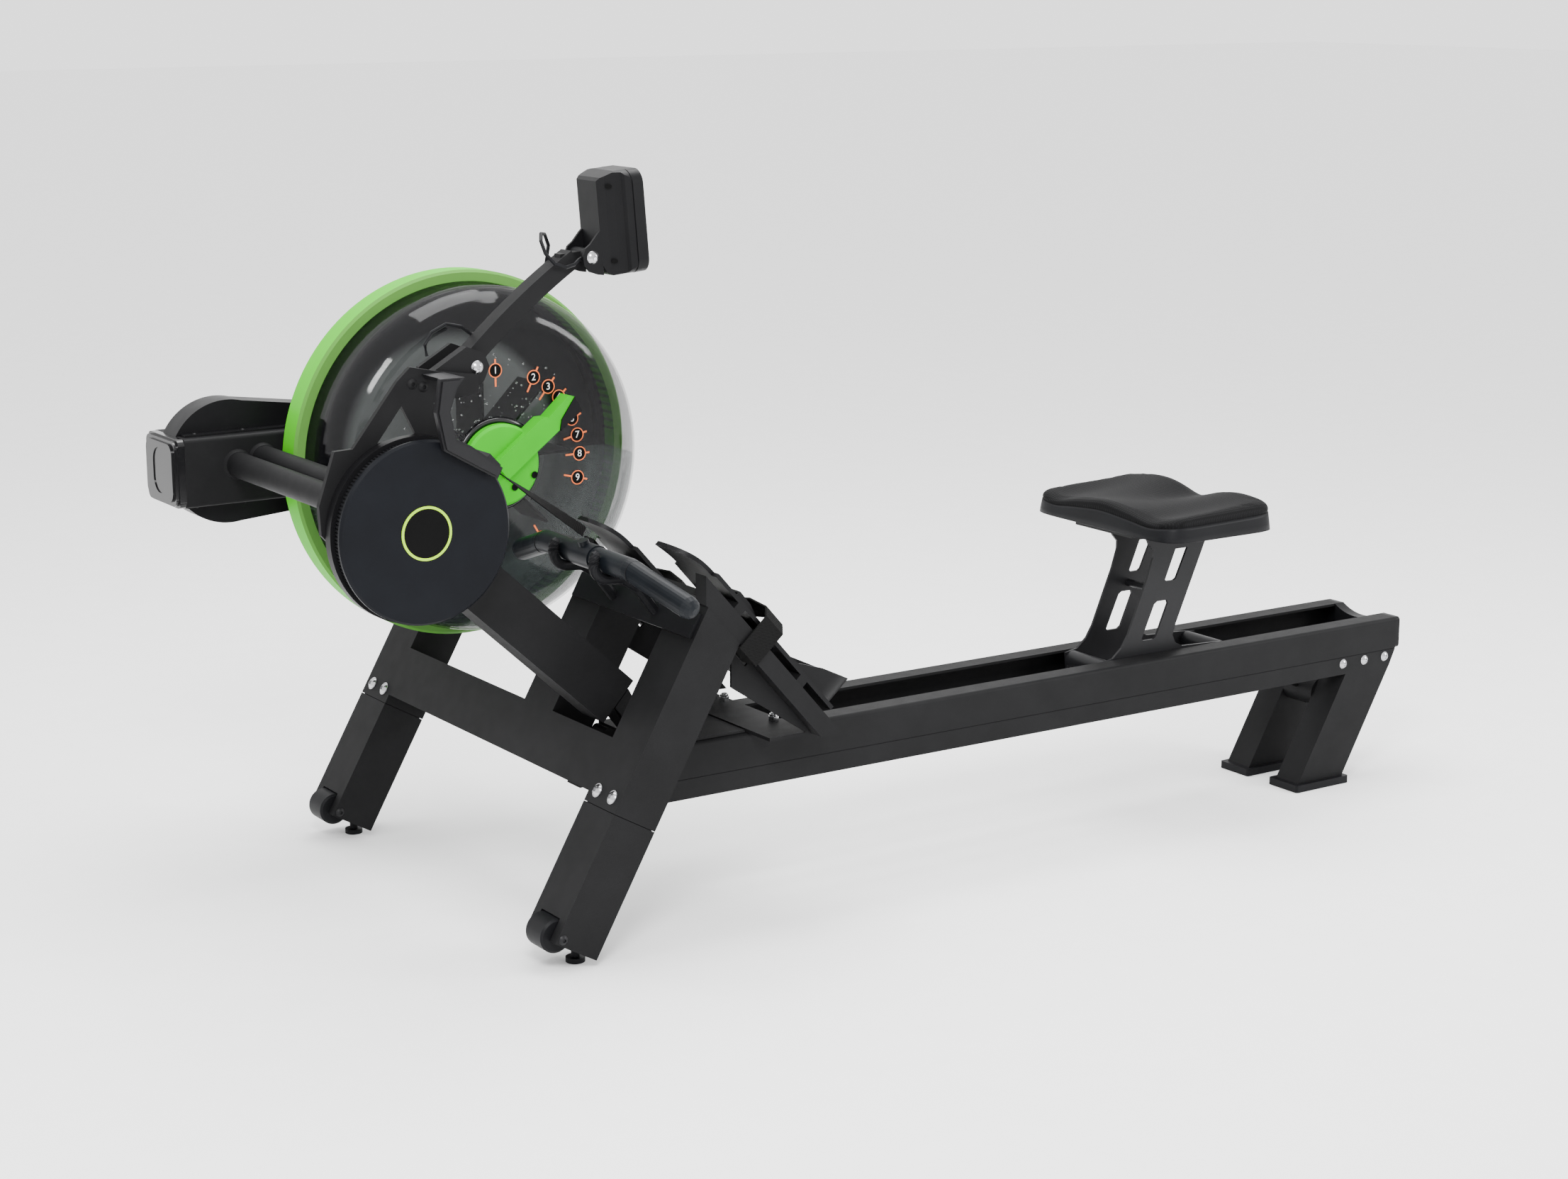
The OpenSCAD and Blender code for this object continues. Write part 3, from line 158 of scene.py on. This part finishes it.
def ring_paint():
    """Green paint with painted light: the rim is painted brighter as lit, and the band that looks along the
    machine's width is painted duller as shade.
    """
    mat, tree, bsdf = shader("ring_green")
    normal = tree.nodes.new("ShaderNodeNewGeometry").outputs["Normal"]
    split = tree.nodes.new("ShaderNodeSeparateXYZ")
    link(tree, normal, split.inputs[0])
    painted_shade_mask = tree.nodes.new("ShaderNodeMath")
    painted_shade_mask.operation = "ABSOLUTE"
    link(tree, split.outputs["Y"], painted_shade_mask.inputs[0])
    # Painted light: the rim colour is this green as lit and the other is the same green as in shade, picked
    # by which way the surface points.
    rim, shaded_green = (0.055, 0.40, 0.008), (0.07, 0.19, 0.035)
    link(tree, ramp(tree, painted_shade_mask.outputs[0], rim, shaded_green, 0.35, 0.75), bsdf.inputs["Base Color"])
    coords = tree.nodes.new("ShaderNodeTexCoord").outputs["Object"]
    link(tree, span(tree, noise(tree, coords, 40), 0.4, 0.54), bsdf.inputs["Roughness"])
    bsdf.inputs["Specular IOR Level"].default_value = 0.08
    bump(tree, bsdf, noise(tree, coords, 800, 2.0), 0.15)
    return mat


def inner_tank(name):
    """Rear shell: glossy black, with a greyer disc inside the window's radius; the grey is partly the inner
    wall's own colour and partly painted light for the backdrop seen through the window.
    """
    mat, tree, bsdf = shader(name)
    coords = tree.nodes.new("ShaderNodeTexCoord").outputs["Object"]
    lo, hi = (Vector(p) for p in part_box("tank_ring"))
    away = tree.nodes.new("ShaderNodeVectorMath")
    away.operation = "DISTANCE"
    flat = tree.nodes.new("ShaderNodeVectorMath")
    flat.operation = "MULTIPLY"
    flat.inputs[1].default_value = (1, 0, 1)
    link(tree, coords, flat.inputs[0])
    link(tree, flat.outputs[0], away.inputs[0])
    away.inputs[1].default_value = ((lo.x + hi.x) / 2, 0, (lo.z + hi.z) / 2)
    # Grey inside the window's radius and black outside it: partly the wall's own grey, partly painted light
    # seen through the window.
    link(tree, ramp(tree, away.outputs["Value"], (0.17, 0.185, 0.18), (0.004, 0.004, 0.005), 0.165, 0.185),
         bsdf.inputs["Base Color"])
    link(tree, span(tree, noise(tree, coords, 30), 0.5, 0.6), bsdf.inputs["Roughness"])
    bsdf.inputs["Specular IOR Level"].default_value = 0.08
    return mat


def see_through(name, colour, alpha, rough):
    """Thin clear plastic: mostly see-through, with bright reflections and faint haze."""
    mat, tree, bsdf = shader(name)
    coords = tree.nodes.new("ShaderNodeTexCoord").outputs["Object"]
    low, high = [c * 0.8 for c in colour], [c * 1.2 for c in colour]
    link(tree, ramp(tree, noise(tree, coords, 9), low, high), bsdf.inputs["Base Color"])
    bsdf.inputs["Roughness"].default_value = rough
    bsdf.inputs["Alpha"].default_value = alpha
    bsdf.inputs["Specular IOR Level"].default_value = 0.42
    return mat


MATS = {
    "powder": surface("powder_coat", (0.006, 0.006, 0.0064), 0.55, grain=1300, grain_strength=0.35,
                      shine=0.09),
    "steel_black": surface("black_steel", (0.007, 0.007, 0.0078), 0.42, grain_strength=0.15, shine=0.16),
    "bolt": surface("bolt_steel", (0.42, 0.42, 0.43), 0.2, metallic=1.0, vary=0.1, grain=400,
                    grain_strength=0.05),
    "plastic": surface("black_plastic", (0.0045, 0.0045, 0.005), 0.4, grain=1500, grain_strength=0.12,
                       shine=0.1),
    "gloss": surface("gloss_black", (0.004, 0.004, 0.0045), 0.16, grain=700, grain_strength=0.03, shine=0.4),
    "drum": surface("drum_black", (0.004, 0.0045, 0.006), 0.42, grain=1100, grain_strength=0.08, shine=0.07),
    "rubber": surface("black_rubber", (0.0045, 0.0046, 0.0054), 0.48, grain=700, grain_strength=0.12,
                      shine=0.1),
    "grip": surface("grip_rubber", (0.0035, 0.0045, 0.006), 0.4, vary=0.35, grain=260, grain_strength=0.12,
                    shine=0.13),
    "web": woven("webbing", (0.004, 0.004, 0.004), "Y", "Z", 0.0016),
    "seat": woven("seat_cloth", (0.003, 0.003, 0.0034), "X", "Y", 0.0034, 0.62),
    "ring": ring_paint(),
    "lever": surface("lever_green", (0.018, 0.38, 0.001), 0.4, vary=0.06, grain_strength=0.08, shine=0.1),
    "deep": surface("deep_black", (0.002, 0.002, 0.002), 0.5, grain=700, grain_strength=0.03, shine=0.05),
    "badge": surface("badge_yellow", (0.30, 0.55, 0.01), 0.4, vary=0.05, grain_strength=0.05, shine=0.2),
    "orange": surface("dial_orange", (0.62, 0.13, 0.03), 0.5, vary=0.08, grain_strength=0.03, shine=0.2),
    "white": surface("dial_white", (0.62, 0.62, 0.60), 0.5, vary=0.04, grain_strength=0.03),
    "shell": see_through("clear_shell", (0.004, 0.004, 0.005), 0.30, 0.06),
    "dark_shell": inner_tank("dark_shell"),
    "water": see_through("water", (0.16, 0.20, 0.19), 0.30, 0.03),
    "drops": clear("water_drops", (0.93, 0.95, 0.95), 0.01, 1.33),
    "screen": surface("screen_glass", (0.02, 0.026, 0.024), 0.12, vary=0.05, grain=500, grain_strength=0.01,
                      coat=0.5),
}

LOOKS = {
    "powder": """front_leg_near front_leg_far middle_post crossbar lower_leg_near lower_leg_far rail_near
        rail_far rear_leg_frame foot_bracket foot_channel_near foot_channel_far inclined_beam front_beam
        drive_tubes drum_bracket mast mast_clamp""",
    "steel_black": "strap_guard_arm wheel_axles seat_post",
    "bolt": "frame_fasteners console_bolt drive_shaft shaft_bearings",
    "plastic": """rail_end_cap pulley_guard_top pulley_guard_bottom footboard_near footboard_far
        heel_rest_near heel_rest_far drum_spool drive_pulley impeller console_back console_bezel""",
    "drum": "drum_cover",
    "gloss": "beam_end_cap",
    "rubber": """floor_feet transport_wheel_near transport_wheel_far handle_hooks front_rollers rear_rollers
        drive_belt console_cable lever_grip""",
    "grip": "handle_bar handle_grips",
    "web": "foot_strap_near foot_strap_far pull_strap bungee_cord",
    "seat": "seat_pad",
    "ring": "tank_ring",
    "lever": "tank_lever",
    "shell": "tank_shell_front",
    "dark_shell": "tank_shell_rear",
    "water": "tank_water",
}

for look, names in LOOKS.items():
    for name in names.split():
        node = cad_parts[name]
        node.data.materials.clear()
        node.data.materials.append(MATS[look])


# ---- Making pieces ----

def piece(name, bm, look, body, smooth=True):
    mesh = bpy.data.meshes.new(name)
    bmesh.ops.recalc_face_normals(bm, faces=bm.faces)
    bm.to_mesh(mesh)
    bm.free()
    for p in mesh.polygons:
        p.use_smooth = smooth
    obj = bpy.data.objects.new(name, mesh)
    bpy.context.scene.collection.objects.link(obj)
    mesh.materials.append(MATS[look])
    if body:
        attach(obj, body)
    return obj


def lathe(bm, profile, centre, turns=96, axis="Y"):
    """Closed ring turned about Y through centre: profile is a loop of (radius, y), in metres."""
    rings = []
    for i in range(turns):
        a = 2 * math.pi * i / turns
        rings.append([bm.verts.new((centre[0] + r * math.cos(a), y, centre[2] + r * math.sin(a)))
                      for r, y in profile])
    n = len(profile)
    for i in range(turns):
        here, there = rings[i], rings[(i + 1) % turns]
        for k in range(n):
            bm.faces.new((here[k], here[(k + 1) % n], there[(k + 1) % n], there[k]))


def disc(bm, centre, radius, thick, sides=40):
    """Flat disc that faces -Y, with its back at centre."""
    top = [bm.verts.new((centre[0] + radius * math.cos(2 * math.pi * i / sides), centre[1] - thick,
                         centre[2] + radius * math.sin(2 * math.pi * i / sides))) for i in range(sides)]
    low = [bm.verts.new((v.co.x, centre[1], v.co.z)) for v in top]
    bm.faces.new(top)
    bm.faces.new(low)
    for i in range(sides):
        j = (i + 1) % sides
        bm.faces.new((top[i], top[j], low[j], low[i]))


def slab(bm, a, b, half, y0, y1):
    """Flat bar between two (x, z) places."""
    run = (Vector(b) - Vector(a)).normalized()
    side = Vector((-run.y, run.x)) * half
    corners = [Vector(a) + side, Vector(b) + side, Vector(b) - side, Vector(a) - side]
    front = [bm.verts.new((c.x, y0, c.y)) for c in corners]
    back = [bm.verts.new((c.x, y1, c.y)) for c in corners]
    bm.faces.new(front)
    bm.faces.new(back)
    for i in range(4):
        j = (i + 1) % 4
        bm.faces.new((front[i], front[j], back[j], back[i]))


# ---- Drum: ribbed band and badge ----

drum_mid, drum_lo, drum_hi = middle("drum_cover")
band_r = 117 * MM
band_y0, band_y1 = drum_hi.y + 0.4 * MM, drum_hi.y + 17 * MM
bm = bmesh.new()
ribs = 150
for i in range(ribs):
    a0, a1 = 2 * math.pi * i / ribs, 2 * math.pi * (i + 0.55) / ribs
    quad = []
    for a in (a0, a1):
        for r in (band_r - 0.5 * MM, band_r + 1.4 * MM):
            for y in (band_y0, band_y1):
                quad.append(bm.verts.new((drum_mid.x + r * math.cos(a), y, drum_mid.z + r * math.sin(a))))
    for f in ((0, 1, 3, 2), (4, 6, 7, 5), (0, 4, 5, 1), (2, 3, 7, 6), (0, 2, 6, 4), (1, 5, 7, 3)):
        bm.faces.new([quad[k] for k in f])
piece("drum_ribs", bm, "rubber", "drum", smooth=False)

bm = bmesh.new()
disc(bm, (drum_mid.x, drum_lo.y, drum_mid.z), 33 * MM, 0.5 * MM, 72)
piece("badge_disc", bm, "deep", "drum", smooth=False)
bm = bmesh.new()
lathe(bm, [(32.5 * MM, drum_lo.y), (32.5 * MM, drum_lo.y - 1.0 * MM), (36 * MM, drum_lo.y - 1.0 * MM),
           (36 * MM, drum_lo.y)], drum_mid)
piece("badge_ring", bm, "badge", "drum", smooth=False)

# ---- Dial on the tank's window ----

tank_mid = middle("tank_ring")[0]
window_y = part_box("tank_shell_front")[0][1]
DIAL = {1: 90, 2: 63, 3: 51, 4: 41, 5: 33, 6: 24, 7: 13, 8: 1, 9: -14}
DIAL_R, MARK_R = 140 * MM, 9.5 * MM


def dial_point(angle, r=DIAL_R):
    a = math.radians(angle)
    return Vector((tank_mid.x + r * math.cos(a), window_y, tank_mid.z + r * math.sin(a)))


blacks, oranges = bmesh.new(), bmesh.new()
for angle in list(DIAL.values()) + [-59]:
    p = dial_point(angle)
    disc(blacks, (p.x, p.y, p.z), MARK_R, 0.3 * MM, 32)
    lathe(oranges, [(MARK_R, p.y), (MARK_R, p.y - 0.5 * MM), (MARK_R + 1.5 * MM, p.y - 0.5 * MM),
                    (MARK_R + 1.5 * MM, p.y)], p, 32)
    for r0, r1 in ((DIAL_R - 24 * MM, DIAL_R - 11 * MM), (DIAL_R + 11 * MM, DIAL_R + 17 * MM)):
        a, b = dial_point(angle, r0), dial_point(angle, r1)
        slab(oranges, (a.x, a.z), (b.x, b.z), 1.3 * MM, window_y - 0.5 * MM, window_y)
piece("dial_marks", blacks, "deep", "frame", smooth=False)
piece("dial_outlines", oranges, "orange", "frame", smooth=False)

for number, angle in DIAL.items():
    text = bpy.data.curves.new("digit_curve_%d" % number, "FONT")
    text.body = str(number)
    text.size = 15 * MM
    text.align_x, text.align_y = "CENTER", "CENTER"
    text.extrude = 0.15 * MM
    source = bpy.data.objects.new("digit_source", text)
    bpy.context.scene.collection.objects.link(source)
    bpy.context.view_layer.update()
    mesh = bpy.data.meshes.new_from_object(source.evaluated_get(bpy.context.evaluated_depsgraph_get()))
    bpy.data.objects.remove(source)
    mesh.materials.clear()
    mesh.materials.append(MATS["white"])
    p = dial_point(angle)
    mesh.transform(Matrix.Translation((p.x, p.y - 0.6 * MM, p.z)) @ Matrix.Rotation(math.pi / 2, 4, "X"))
    digit = bpy.data.objects.new("digit_%d" % number, mesh)
    bpy.context.scene.collection.objects.link(digit)
    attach(digit, "frame")

# Screws of the lever, and the dark collar behind its hub
turn = Matrix.Rotation(math.radians(-37), 4, "Y")


def on_lever(along, up, y):
    """A place on the lever: mm along its arm and square to it, and y in metres."""
    p = turn @ Vector((along * MM, 0, up * MM))
    return Vector((tank_mid.x + p.x, y, tank_mid.z + p.z))


bm = bmesh.new()
for along, up in ((-6, -38), (30, -46)):
    p = on_lever(along, up, at(0, 350, 0).y)
    lathe(bm, [(2.4 * MM, p.y), (2.4 * MM, p.y - 0.5 * MM), (4.4 * MM, p.y - 0.8 * MM),
               (5.4 * MM, p.y)], p, 24)
    disc(bm, p, 2.5 * MM, 0.2 * MM, 24)
piece("lever_screws", bm, "deep", "lever", smooth=False)
bm = bmesh.new()
collar = 3.4 * MM
lathe(bm, [(60 * MM, window_y), (60 * MM, window_y - collar), (68 * MM, window_y - collar),
           (71 * MM, window_y)], tank_mid)
piece("hub_collar", bm, "gloss", "frame")

# Drops of water on the window
rng = random.Random(7)
bm = bmesh.new()
for _ in range(150):
    angle, r = rng.uniform(20, 165), rng.uniform(70, 165) * MM
    p = dial_point(angle, r)
    size = rng.uniform(0.6, 1.9) * MM
    place = Matrix.Translation((p.x, window_y, p.z)) @ Matrix.Diagonal((1, 0.45, 1, 1))
    bmesh.ops.create_icosphere(bm, subdivisions=1, radius=size, matrix=place)
piece("water_drops", bm, "drops", "frame")

# ---- Seat cushion ----

seat_lo, seat_hi = (Vector(p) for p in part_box("seat_pad"))


def saddle(u, v):
    """Height of the cushion's top above its underside, in mm, at u along and v across, both from -1 to 1."""
    v = abs(v)
    front = 39 + 7 * math.exp(-(v / 0.28) ** 2) - 8 * math.exp(-((v - 0.68) / 0.22) ** 2)
    rear = 46 - 13 * math.exp(-(v / 0.24) ** 2) + 5 * math.exp(-((v - 0.58) / 0.32) ** 2)
    dish = 5 * (1 - u * u) * (1 - v * v)
    return (front * (1 - u) + rear * (1 + u)) / 2 - dish


RING_SIDES = 144  # points in each ring of the cushion
HELD_RINGS = 5  # rings of the skirt that the cloth leaves in place


def rim_point(angle, inset, mid, half_x, half_y):
    """A place on the cushion's outline, a rectangle with round corners, inset by some mm."""
    n = 8.0
    c, d = math.cos(angle), math.sin(angle)
    k = (abs(c) ** n + abs(d) ** n) ** (-1 / n)
    return mid[0] + c * k * (half_x - inset * MM), mid[1] + d * k * (half_y - inset * MM)


def cushion():
    """Closed rings: the underside, the skirt, the rolled edge and the crowned top."""
    half_x, half_y = (seat_hi.x - seat_lo.x) / 2, (seat_hi.y - seat_lo.y) / 2
    mid = ((seat_hi.x + seat_lo.x) / 2, (seat_hi.y + seat_lo.y) / 2)
    sides = RING_SIDES
    bm = bmesh.new()
    rings = []

    def ring(inset, height, shrink=1.0):
        row = []
        for i in range(sides):
            x, y = rim_point(2 * math.pi * i / sides, inset, mid, half_x, half_y)
            x, y = mid[0] + (x - mid[0]) * shrink, mid[1] + (y - mid[1]) * shrink
            u, v = (x - mid[0]) / half_x, (y - mid[1]) / half_y
            row.append(bm.verts.new((x, y, seat_lo.z + height(max(-1, min(1, u)), max(-1, min(1, v))) * MM)))
        rings.append(row)

    for inset, share in ((0.4, 0.0), (-1.5, 0.02), (-0.6, 0.25), (0.6, 0.5), (1.4, 0.62)):
        ring(inset, lambda u, v, q=share: 0.5 + q * (saddle(u, v) - 2))
    for inset, share in ((3.2, 0.635), (1.8, 0.66), (1.4, 0.72), (2.0, 0.79), (3.6, 0.87), (6.5, 0.93),
                         (11, 0.97), (17, 0.99)):
        ring(inset, lambda u, v, q=share: 0.5 + q * (saddle(u, v) - 2))
    for shrink in (0.985, 0.93, 0.86, 0.78, 0.7, 0.61, 0.52, 0.42, 0.32, 0.21, 0.1):
        ring(17, lambda u, v: saddle(u, v) - 1.5, shrink)
    for k in range(len(rings) - 1):
        for i in range(sides):
            j = (i + 1) % sides
            f = bm.faces.new((rings[k][i], rings[k][j], rings[k + 1][j], rings[k + 1][i]))
            f.material_index = 0 if k >= HELD_RINGS - 1 else 1
    bm.faces.new(rings[-1])
    bm.faces.new(list(reversed(rings[0]))).material_index = 1
    return piece("seat_cushion", bm, "seat", None)


def puff(obj, cap):
    """Inflate the cloth a little with its skirt held, limit the movement, then keep the result."""
    scene = bpy.context.scene
    start = [v.co.copy() for v in obj.data.vertices]
    held = obj.vertex_groups.new(name="held")
    held.add([v.index for v in obj.data.vertices if v.index < HELD_RINGS * RING_SIDES], 1.0, "REPLACE")
    cloth = obj.modifiers.new("cloth", "CLOTH")
    cloth.settings.use_pressure = True
    cloth.settings.uniform_pressure_force = 4
    cloth.settings.effector_weights.gravity = 0
    cloth.settings.vertex_group_mass = "held"
    for f in range(1, 21):
        scene.frame_set(f)
    done = obj.evaluated_get(bpy.context.evaluated_depsgraph_get()).to_mesh()
    moved = [v.co.copy() for v in done.vertices]
    obj.modifiers.remove(cloth)
    for v, a, b in zip(obj.data.vertices, start, moved):
        step = b - a
        v.co = a + step * min(1.0, cap / max(step.length, 1e-9))
        v.co.z = max(v.co.z, seat_lo.z + 0.5 * MM)
    scene.frame_set(1)
    for p in obj.data.polygons:
        p.use_smooth = True


seat = cushion()
seat.data.materials.append(MATS["rubber"])
puff(seat, 1.2 * MM)
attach(seat, "seat")
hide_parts("seat_pad")

# ---- Handle: the seam where each grip starts ----

bm = bmesh.new()
for side in (-1, 1):
    c = at(180.9, side * 125.5, 527.6)
    lathe(bm, [(15.9 * MM, c.y - 0.8 * MM), (16.5 * MM, c.y - 0.8 * MM), (16.5 * MM, c.y + 0.8 * MM),
               (15.9 * MM, c.y + 0.8 * MM)], c, 64)
piece("grip_seams", bm, "rubber", "handle")

# ---- Console screen ----

tilt = Matrix.Rotation(math.radians(-4.6), 4, "Y")
pivot = at(180, 0, 941)
bm = bmesh.new()
screen_x, screen_w, screen_z0, screen_z1 = 71.6, 74, -8, 92
corners = [(-screen_w / 2, screen_z0), (screen_w / 2, screen_z0),
           (screen_w / 2, screen_z1), (-screen_w / 2, screen_z1)]
front = [bm.verts.new(pivot + tilt @ (Vector((screen_x, y, z)) * MM)) for y, z in corners]
back = [bm.verts.new(pivot + tilt @ (Vector((screen_x - 1, y, z)) * MM)) for y, z in corners]
bm.faces.new(front)
bm.faces.new(back)
for i in range(4):
    j = (i + 1) % 4
    bm.faces.new((front[i], front[j], back[j], back[i]))
piece("console_screen", bm, "screen", "console", smooth=False)

# Screw holes in the flank of the console's back, as dark ovals: painted shade where the holes' insides would
# be.
bm = bmesh.new()
for z in (-8, 92):
    rim = []
    for layer in (0.0, 0.35):
        row = []
        for i in range(28):
            a = 2 * math.pi * i / 28
            out = 4.6 * math.cos(a)
            spot = Vector((27.5 + out, -35.1 - 0.26 * out - layer, z + 3.2 * math.sin(a)))
            row.append(bm.verts.new(pivot + tilt @ (spot * MM)))
        rim.append(row)
    bm.faces.new(rim[0])
    bm.faces.new(rim[1])
    for i in range(28):
        j = (i + 1) % 28
        bm.faces.new((rim[0][i], rim[0][j], rim[1][j], rim[1][i]))
piece("console_hole_painted_shade", bm, "deep", "console", smooth=False)

# ---- Floor, light and camera ----

bm = bmesh.new()
bmesh.ops.create_grid(bm, x_segments=1, y_segments=1, size=30)
floor = piece("floor", bm, "white", None, smooth=False)
floor.location.z = -0.0005
floor_mat = surface("floor_pale", (0.93, 0.93, 0.93), 0.9, vary=0.01, grain=200, grain_strength=0.02,
                    shine=0.1)
floor.data.materials.clear()
floor.data.materials.append(floor_mat)

world = bpy.data.worlds.new("studio")
bpy.context.scene.world = world
world.use_nodes = True
world.node_tree.nodes["Background"].inputs["Color"].default_value = (1, 1, 1, 1)
world.node_tree.nodes["Background"].inputs["Strength"].default_value = 2.0


def soft_light(name, place, target, size, power):
    data = bpy.data.lights.new(name, "AREA")
    data.shape, data.size, data.energy = "SQUARE", size, power
    obj = bpy.data.objects.new(name, data)
    obj.location = place
    obj.rotation_euler = (Vector(place) - Vector(target)).to_track_quat("Z", "Y").to_euler()
    bpy.context.scene.collection.objects.link(obj)


soft_light("key", (-1.9, -2.4, 2.5), (-0.3, 0, 0.6), 0.9, 130)
soft_light("side", (2.6, -2.2, 1.8), (0.2, 0, 0.5), 1.0, 70)
soft_light("top", (0.0, 0.4, 3.0), (0, 0, 0.4), 1.8, 110)

AZIMUTH, ELEVATION = math.radians(-33.839), math.radians(12.525)
back = Vector((math.sin(AZIMUTH) * math.cos(ELEVATION), -math.cos(AZIMUTH) * math.cos(ELEVATION),
               math.sin(ELEVATION)))
data = bpy.data.cameras.new("camera")
data.sensor_width, data.lens = 36, 65.07
data.shift_x, data.shift_y = -0.0062, -0.00266
data.clip_end = 60
camera = bpy.data.objects.new("camera", data)
camera.location = at(-1708.5, -3324.6, 1334.7)
camera.rotation_euler = back.to_track_quat("Z", "Y").to_euler()
bpy.context.scene.collection.objects.link(camera)
bpy.context.scene.camera = camera
